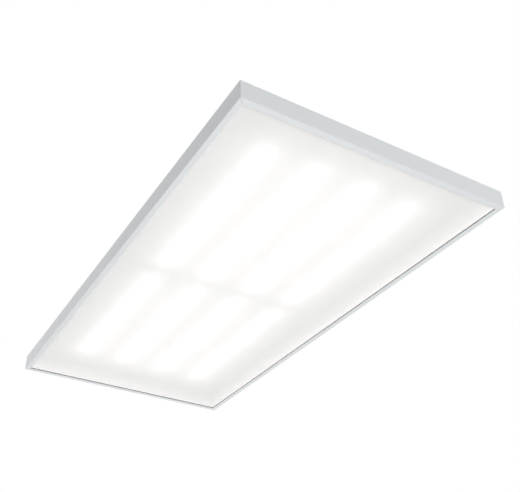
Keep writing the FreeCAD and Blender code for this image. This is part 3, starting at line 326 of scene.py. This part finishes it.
def foam_skin(place):
    cells = place.node("TexVoronoi", inputs={"Vector": place, "Scale": 1 / cell_size})
    return {
        "Base Color": cells.between(foam_dark, foam_pale),
        "Roughness": place.varied(0.92, spread=0.1, size=0.004),
        "Normal": cells.relief(depth=0.00025, strength=0.7),
    }


foam = finish("grey_foam", {"IOR": 1.4, "Specular IOR Level": 0.25}, foam_skin)
foam_edge_radius = 0.0004
for side in ("left", "right", "near", "far"):
    strip = block(*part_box(f"seal_{side}"), foam_edge_radius)
    piece(f"foam_{side}", strip, [foam], [f"seal_{side}"])


# ---- Light chamber --------------------------------------------------------------------------
# A flat sheet and four folded side reflectors in matt white steel close the space behind the
# diffuser. The strips' light on them is a painted glow: brightest beside a strip, dullest in
# the upper corners.

strip_half_pitch = 0.0565
strip_lines = (-3, -1, 1, 3)
lit_middle = 0.2555
lit_half_length = 0.2095
glow_everywhere = 0.215
glow_beside_strip = 1.24
strip_reach = 0.028
glow_up_in_corners = -0.02
glow_down_by_sides = 0.30
side_reach = 0.030
glow_peak = 1.6
glow_tint = (1.03, 0.99, 0.955)
chamber_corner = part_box("reflector_sheet")[1]
chamber_depth = chamber_corner.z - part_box("diffuser")[1].z


def painted_chamber_glow(place):
    """The painted glow at a place in the chamber, as a share of its peak: what each strip adds,
    summed.
    """
    column = abs(place.part("X"))
    row = abs(place.part("Y"))
    below_sheet = chamber_corner.z - place.part("Z")
    from_side = (chamber_corner.x - column).at_most(chamber_corner.y - row)
    # Painted shade up in the corners by the sides, and painted light low down on the side reflectors.
    beside = glow_up_in_corners + below_sheet * (glow_down_by_sides / chamber_depth)
    glow = glow_everywhere + from_side.fading(side_reach) * beside
    past_end = (abs(row - lit_middle) - lit_half_length).at_least(0.0)
    # A column counts from the middle, so the first line is always too far off to add to its glow.
    for line in strip_lines[1:]:
        across = column - line * strip_half_pitch
        away = (across * across + past_end * past_end) ** 0.5
        glow = glow + away.fading(strip_reach) * glow_beside_strip
    # The painted glow ends at the sheet, so that rivet tails and leads on the back get none of it.
    return (glow / glow_peak) * (below_sheet > 0.0)


def with_painted_glow(name, fixed, painted):
    """A material that also carries the chamber's painted glow: emission set by place, with no lamp
    behind it.
    """
    def textures_with_painted_glow(place):
        colour = place.node("VectorMath", {"operation": "SCALE"},
                            {0: glow_tint, 3: painted_chamber_glow(place)})
        return {**painted(place), "Emission Color": colour}

    return finish(name, {"Emission Strength": glow_peak, **fixed}, textures_with_painted_glow)


def matt_white(place):
    cloud = place.grain(size=0.08, detail=3.0)
    return {
        "Base Color": cloud.between((0.50, 0.50, 0.50, 1), (0.54, 0.54, 0.53, 1)),
        "Roughness": place.varied(0.7, spread=0.15, size=0.02),
        "Normal": place.grain(size=0.0007).relief(depth=0.00002),
    }


dress(with_painted_glow("matt_reflector", {}, matt_white), "reflector_sheet", "side_reflector_left",
      "side_reflector_right", "side_reflector_near", "side_reflector_far")


# ---- Light strips ---------------------------------------------------------------------------
# Eight narrow circuit boards in white solder mask, four abreast and two end to end, riveted
# under the sheet. A row of chips runs down each, and a cross board and leads join them.

track_bands = 180.0
track_waver = 0.4
track_level = 0.82


def solder_mask(place):
    """White, with copper tracks that lie under it as slightly raised and darker bands."""
    waves = place.node("TexWave", {"bands_direction": "X"},
                       {"Vector": place, "Scale": track_bands, "Distortion": track_waver})
    tracks = waves > track_level
    return {
        "Base Color": tracks.between((0.52, 0.52, 0.50, 1), (0.46, 0.46, 0.44, 1)),
        "Roughness": place.varied(0.35, spread=0.1, size=0.006),
        "Normal": tracks.relief(depth=0.00004),
    }


# The boards, rivets, plugs, leads, chip cases and phosphor all carry the chamber's painted glow.
board_white = with_painted_glow("white_solder_mask", {"IOR": 1.5}, solder_mask)
for number in range(1, 9):
    dress(board_white, f"light_board_{number}")
dress(board_white, "cross_board")


def moulded(dark, pale, roughness, grain_size=0.0006, depth=0.00001):
    """How a moulded plastic varies: a little in colour and gloss, with a fine spark-eroded grain."""
    def painted(place):
        return {
            "Base Color": place.grain(size=0.012, detail=3.0).between(dark, pale),
            "Roughness": place.varied(roughness, spread=0.12, size=0.005),
            "Normal": place.grain(grain_size).relief(depth),
        }

    return painted


nylon_with_painted_glow = with_painted_glow("nylon_with_painted_glow", {"IOR": 1.53},
                       moulded(dark=(0.50, 0.50, 0.48, 1), pale=(0.54, 0.54, 0.52, 1), roughness=0.4))
wire_with_painted_glow = with_painted_glow("lead_with_painted_glow", {"IOR": 1.5},
                      moulded(dark=(0.50, 0.50, 0.48, 1), pale=(0.55, 0.55, 0.53, 1), roughness=0.3))
chip_case = with_painted_glow("chip_case", {"IOR": 1.5},
                       moulded(dark=(0.55, 0.55, 0.54, 1), pale=(0.58, 0.58, 0.56, 1), roughness=0.45))
phosphor = with_painted_glow("phosphor", {"IOR": 1.45},
                      moulded(dark=(0.85, 0.75, 0.35, 1), pale=(0.90, 0.80, 0.42, 1), roughness=0.3))
dress(nylon_with_painted_glow, "board_rivets")
dress(wire_with_painted_glow, "jumper_leads")


def stamp(shape, part, places):
    """Adds a copy of a part to a shape at each place, and frees the part."""
    for place in places:
        copy = bpy.data.meshes.new("copy")
        part.to_mesh(copy)
        copy.transform(Matrix.Translation(place))
        shape.from_mesh(copy)
        bpy.data.meshes.remove(copy)
    part.free()


def sink(shape, face, margin, travel):
    """Insets a face, moves what is left of it, and returns it."""
    bmesh.ops.inset_individual(shape, faces=[face], thickness=margin)
    bmesh.ops.translate(shape, verts=face.verts, vec=travel)
    return face


chip_half_width = 0.0014
chip_half_length = 0.00175
chip_pitch = 0.017
chip_corner = 0.00012
window_margin = 0.0005
window_depth = 0.00025
phosphor_slot = 1
for end in ("near", "far"):
    low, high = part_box(f"light_chips_{end}")
    chip = block((-chip_half_width, -chip_half_length, low.z),
                 (chip_half_width, chip_half_length, high.z), chip_corner, steps=1)
    lit_face = min(chip.faces, key=lambda face: face.calc_center_median().z)
    window = sink(chip, lit_face, window_margin, (0, 0, window_depth))
    window.material_index = phosphor_slot
    spaces = round((high.y - low.y - 2 * chip_half_length) / chip_pitch)
    places = [(line * strip_half_pitch, low.y + chip_half_length + step * chip_pitch, 0)
              for line in strip_lines for step in range(spaces + 1)]
    row = bmesh.new()
    stamp(row, chip, places)
    piece(f"chips_{end}", row, [chip_case, phosphor], [f"light_chips_{end}"])

plug_half_width = 0.0035
plug_length = 0.009
plug_corner = 0.0003
entry_margin = 0.0007
entry_depth = 0.003
low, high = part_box("board_plugs")
plugs = bmesh.new()
for end in (-1, 1):
    inner, outer = sorted((end * (high.y - plug_length), end * high.y))
    plug = block((-plug_half_width, inner, low.z), (plug_half_width, outer, high.z), plug_corner,
                 steps=2)
    entry = min(plug.faces, key=lambda face: abs(face.calc_center_median().y))
    sink(plug, entry, entry_margin, (0, end * entry_depth, 0))
    stamp(plugs, plug, [(line * strip_half_pitch, 0, 0) for line in strip_lines])
piece("lead_plugs", plugs, [nylon_with_painted_glow], ["board_plugs"])


# ---- Diffuser -------------------------------------------------------------------------------
# A 2 mm sheet of opal acrylic with polished edges, loose between the seals and the reflectors.
# It lets about half of the chamber's painted glow through, so the strips show in it as soft bars.

def opal(place):
    cloud = place.grain(size=0.15, detail=2.0)
    return {
        "Base Color": cloud.between((0.905, 0.905, 0.905, 1), (0.925, 0.922, 0.918, 1)),
        "Roughness": place.varied(0.32, spread=0.06, size=0.05),
        "Normal": place.grain(size=0.004).relief(depth=0.00001),
    }


# The sheet's own faint, even emission is painted glow, standing in for the light the opal scatters.
milky_with_painted_glow = {
    "IOR": 1.49,
    "Alpha": 0.5,
    "Emission Color": (1, 0.985, 0.965, 1),
    "Emission Strength": 0.10,
}
opal_sheet = finish("opal_acrylic", milky_with_painted_glow, opal)
sheet_edge_radius = 0.0003
sheet = block(*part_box("diffuser"), sheet_edge_radius)
piece("opal_diffuser", sheet, [opal_sheet], ["diffuser"])


# ---- Back -----------------------------------------------------------------------------------
# A steel plate with six pressed stiffening beads, in white coil coat, screwed to the rails.
# Four rivet nuts near its corners take suspension wires or rods.

coil_coat = coated("coil_coat", dark=(0.74, 0.75, 0.76, 1), pale=(0.78, 0.79, 0.795, 1),
                   roughness=0.5, peel_size=0.0016, peel_depth=0.000012)
dress(coil_coat, "back_plate")
dress(zinc, "back_plate_screws", "suspension_nuts")


# ---- Gear box -------------------------------------------------------------------------------
# A folded steel tray riveted to the back, with a lid that swings on two hinge pins.
# It is coated like the plate, and has discs in its walls to knock out for more cables.
# A black rubber grommet, moulded in one piece and pushed into the end wall, takes the cable.

box_coat = coated("box_coat", dark=(0.76, 0.77, 0.78, 1), pale=(0.80, 0.81, 0.815, 1),
                  roughness=0.45, peel_size=0.0012, peel_depth=0.000016)
dress(box_coat, "gear_box", "gear_lid")
dress(zinc, "gear_box_rivets", "hinge_pins", "lid_screw")

rubber = finish("black_rubber", {"IOR": 1.5, "Specular IOR Level": 0.35},
                moulded(dark=(0.018, 0.018, 0.018, 1), pale=(0.035, 0.035, 0.034, 1),
                        roughness=0.62, grain_size=0.0008, depth=0.00003))
grommet_bore = 0.0045
grommet_neck = 0.0086
grommet_steps = 48
collar = 0.0015
wall_thickness = 0.001
rim_slope = 0.0005
rim_round = 0.0003
close_together = 0.00001
low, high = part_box("cable_grommet")
grommet_radius = (high.y - low.y) / 2
wall_outside = high.x - collar
wall_inside = wall_outside - wall_thickness
ring = bmesh.new()
outline = [
    (low.x, grommet_bore), (low.x, grommet_bore + collar), (wall_inside - collar, grommet_radius),
    (wall_inside, grommet_radius), (wall_inside, grommet_neck), (wall_outside, grommet_neck),
    (wall_outside, grommet_radius), (high.x, grommet_radius - rim_slope), (high.x, grommet_bore),
]
corners = [ring.verts.new((x, 0, radius)) for x, radius in outline]
edges = [ring.edges.new(pair) for pair in zip(corners, corners[1:] + corners[:1])]
bmesh.ops.spin(ring, geom=corners + edges, cent=(0, 0, 0), axis=(1, 0, 0), angle=math.tau,
               steps=grommet_steps, use_merge=True)
bmesh.ops.remove_doubles(ring, verts=ring.verts, dist=close_together)
bmesh.ops.recalc_face_normals(ring, faces=ring.faces)
hoops = [edge for edge in ring.edges
         if abs(edge.verts[0].co.x - edge.verts[1].co.x) < close_together
         and abs(edge.verts[0].co.yz.length - edge.verts[1].co.yz.length) < close_together]
soften(ring, hoops, rim_round, steps=2)
bmesh.ops.translate(ring, verts=ring.verts, vec=(0, (low.y + high.y) / 2, (low.z + high.z) / 2))
piece("rubber_grommet", ring, [rubber], ["cable_grommet"])


# ---- Driver ---------------------------------------------------------------------------------
# A folded grey case screwed to the floor of the gear box by its two ears. Inside it a green
# circuit board on four posts carries a transformer and three capacitors.

case_coat = coated("case_coat", dark=(0.50, 0.52, 0.54, 1), pale=(0.56, 0.58, 0.60, 1),
                   roughness=0.38, peel_size=0.0008, peel_depth=0.000014)
dress(case_coat, "driver_base", "driver_cover")
dress(zinc, "driver_screws")


track_grid = 260.0
track_width = 0.03


def green_mask(place):
    """Green, with a grid of copper tracks under it."""
    layout = {"Vector": place, "Scale": track_grid, "Mortar Size": track_width}
    tracks = place.node("TexBrick", inputs=layout, output=1)
    return {
        "Base Color": tracks.between((0.012, 0.10, 0.04, 1), (0.03, 0.19, 0.08, 1)),
        "Roughness": place.varied(0.28, spread=0.1, size=0.004),
        "Normal": tracks.relief(depth=0.00003),
    }


dress(finish("green_solder_mask", {"IOR": 1.5}, green_mask), "driver_board")

ferrite = finish("ferrite", {"IOR": 1.6},
                 moulded(dark=(0.020, 0.020, 0.022, 1), pale=(0.045, 0.045, 0.047, 1),
                         roughness=0.5, grain_size=0.0004, depth=0.00003))
tape = finish("yellow_tape", {"IOR": 1.5},
              moulded(dark=(0.70, 0.50, 0.05, 1), pale=(0.78, 0.58, 0.10, 1), roughness=0.3))
sleeve = finish("capacitor_sleeve", {"IOR": 1.5},
                moulded(dark=(0.010, 0.014, 0.030, 1), pale=(0.018, 0.024, 0.050, 1),
                        roughness=0.25))
core_half_length = 0.013
core_half_width = 0.012
limb_width = 0.0045
core_lift = 0.0015
core_corner = 0.0004
yoke_half_length = 0.005
yoke_thickness = 0.003
winding_half_length = 0.0105
winding_half_width = 0.0073
winding_lift = 0.002
winding_gap = 0.0002
winding_corner = 0.0018
can_radius = 0.005
can_corner = 0.0007
can_segments = 40
can_places = ((0.028, 0, 0), (-0.028, -0.007, 0), (-0.028, 0.007, 0))
tape_slot, sleeve_slot, top_slot = 1, 2, 3
low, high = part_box("driver_board")
middle = (low.x + high.x) / 2
floor_of_parts = high.z
top_of_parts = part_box("driver_components")[1].z
components = bmesh.new()
for side in (-1, 1):
    inner, outer = sorted((side * (core_half_width - limb_width), side * core_half_width))
    limb = block((-core_half_length, inner, floor_of_parts + core_lift),
                 (core_half_length, outer, top_of_parts), core_corner, steps=2)
    stamp(components, limb, [(middle, 0, 0)])
yoke = block((-yoke_half_length, -core_half_width, top_of_parts - yoke_thickness),
             (yoke_half_length, core_half_width, top_of_parts), core_corner, steps=2)
stamp(components, yoke, [(middle, 0, 0)])
winding = block((-winding_half_length, -winding_half_width, floor_of_parts + winding_lift),
                (winding_half_length, winding_half_width, top_of_parts - yoke_thickness - winding_gap),
                winding_corner, steps=4, material=tape_slot)
stamp(components, winding, [(middle, 0, 0)])
can = bmesh.new()
bmesh.ops.create_cone(can, cap_ends=True, segments=can_segments, radius1=can_radius,
                      radius2=can_radius, depth=top_of_parts - floor_of_parts,
                      matrix=Matrix.Translation((0, 0, (floor_of_parts + top_of_parts) / 2)))
ends = [face for face in can.faces if len(face.verts) > 4]
soften(can, [edge for face in ends for edge in face.edges], can_corner)
can_top = max(can.faces, key=lambda face: face.calc_center_median().z)
for face in can.faces:
    face.material_index = top_slot if face == can_top else sleeve_slot
stamp(components, can, [(middle + x, y, z) for x, y, z in can_places])
piece("transformer_and_capacitors", components, [ferrite, tape, sleeve, zinc],
      ["driver_components"])


# ---- Mains terminal and wiring --------------------------------------------------------------
# A grey clamp terminal with three orange levers takes the mains cable by the grommet. Brown and
# blue leads run on to the driver, a green and yellow one to the earth stud on the floor.
# The output leads go down to the strips through a white nylon bush.

terminal_grey = finish("terminal_grey", {"IOR": 1.5},
                       moulded(dark=(0.33, 0.34, 0.35, 1), pale=(0.37, 0.38, 0.39, 1), roughness=0.42))
lever_orange = finish("lever_orange", {"IOR": 1.5},
                      moulded(dark=(0.80, 0.24, 0.02, 1), pale=(0.86, 0.29, 0.03, 1), roughness=0.34))
dress(terminal_grey, "terminal_housing")
dress(zinc, "earth_stud", "earth_lug")

trunnion_radius = 0.001
trunnion_reach = 0.0008
pivot_segments = 32
lever_corner = 0.0005
grip_ridges = 4
first_ridge = 0.0015
ridge_pitch = 0.0012
ridge_half_width = 0.0003
ridge_end = 0.0007
ridge_root = 0.0004
ridge_rise = 0.0002
ridge_corner = 0.00015
for number in (1, 2, 3):
    name = f"terminal_lever_{number}"
    low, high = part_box(name)
    middle_y = (low.y + high.y) / 2
    reach = (high.y - low.y) / 2
    half_width = reach - trunnion_reach
    heel_radius = (high.z - low.z) / 2
    heel = Vector((low.x + heel_radius, 0, low.z + heel_radius))
    lever = block((heel.x, -half_width, low.z), (high.x, half_width, high.z), lever_corner)
    for radius, depth in ((heel_radius, 2 * half_width), (trunnion_radius, 2 * reach)):
        bmesh.ops.create_cone(lever, cap_ends=True, segments=pivot_segments, radius1=radius,
                              radius2=radius, depth=depth,
                              matrix=Matrix.Translation(heel) @ Matrix.Rotation(math.pi / 2, 4, "X"))
    ridge = block((-ridge_half_width, ridge_end - half_width, high.z - ridge_root),
                  (ridge_half_width, half_width - ridge_end, high.z + ridge_rise), ridge_corner,
                  steps=1)
    from_tip = [first_ridge + step * ridge_pitch for step in range(grip_ridges)]
    stamp(lever, ridge, [(high.x - inset, 0, 0) for inset in from_tip])
    bmesh.ops.translate(lever, verts=lever.verts, vec=(0, middle_y, 0))
    piece(f"lever_{number}", lever, [lever_orange], [name], body=name)

driver_end_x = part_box("driver_cover")[1].x
terminal_start_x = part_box("terminal_housing")[0].x
lead_spacing = 0.00375
brown = (0.16, 0.06, 0.025, 1)
blue = (0.02, 0.10, 0.42, 1)


def live_and_neutral(place):
    """Brown on the near side of the line that runs between the two leads, blue beyond it."""
    along = (place.part("X") - driver_end_x) / (terminal_start_x - driver_end_x)
    beyond = place.part("Y") > along * lead_spacing
    return {
        "Base Color": beyond.between(brown, blue),
        "Roughness": place.varied(0.34, spread=0.1, size=0.003),
    }


earth_lead_height = 0.0452
waver = 0.0006
waver_bands = 40.0
green = (0.02, 0.22, 0.04, 1)
yellow = (0.80, 0.62, 0.02, 1)


def green_and_yellow(place):
    """Green below and yellow above, with a wavering edge."""
    wave = place.node("TexWave", {"bands_direction": "X"}, {"Vector": place, "Scale": waver_bands})
    upper = (place.part("Z") - wave * waver) > earth_lead_height
    return {
        "Base Color": upper.between(green, yellow),
        "Roughness": place.varied(0.34, spread=0.1, size=0.003),
    }


dress(finish("mains_lead", {"IOR": 1.5}, live_and_neutral), "mains_leads")
dress(finish("earth_insulation", {"IOR": 1.5}, green_and_yellow), "earth_lead")
# Inside the chamber the output leads and the bush carry its painted glow.
dress(wire_with_painted_glow, "output_leads")
dress(nylon_with_painted_glow, "wire_bush")


# ---- Ceiling clips --------------------------------------------------------------------------
# Four spring-steel arms on shouldered screws swing out over the ceiling grid and hold the
# light down. Each is stamped with a round end and a bent finger tab.

spring_steel = plated("spring_steel", dark=(0.42, 0.43, 0.45, 1), pale=(0.62, 0.63, 0.65, 1),
                      roughness=0.36, fleck=0.0015, brush=(3.0, 0.25, 1.0))
dress(spring_steel, "grid_clip_1", "grid_clip_2", "grid_clip_3", "grid_clip_4")
dress(zinc, "clip_screws", "clip_nuts")
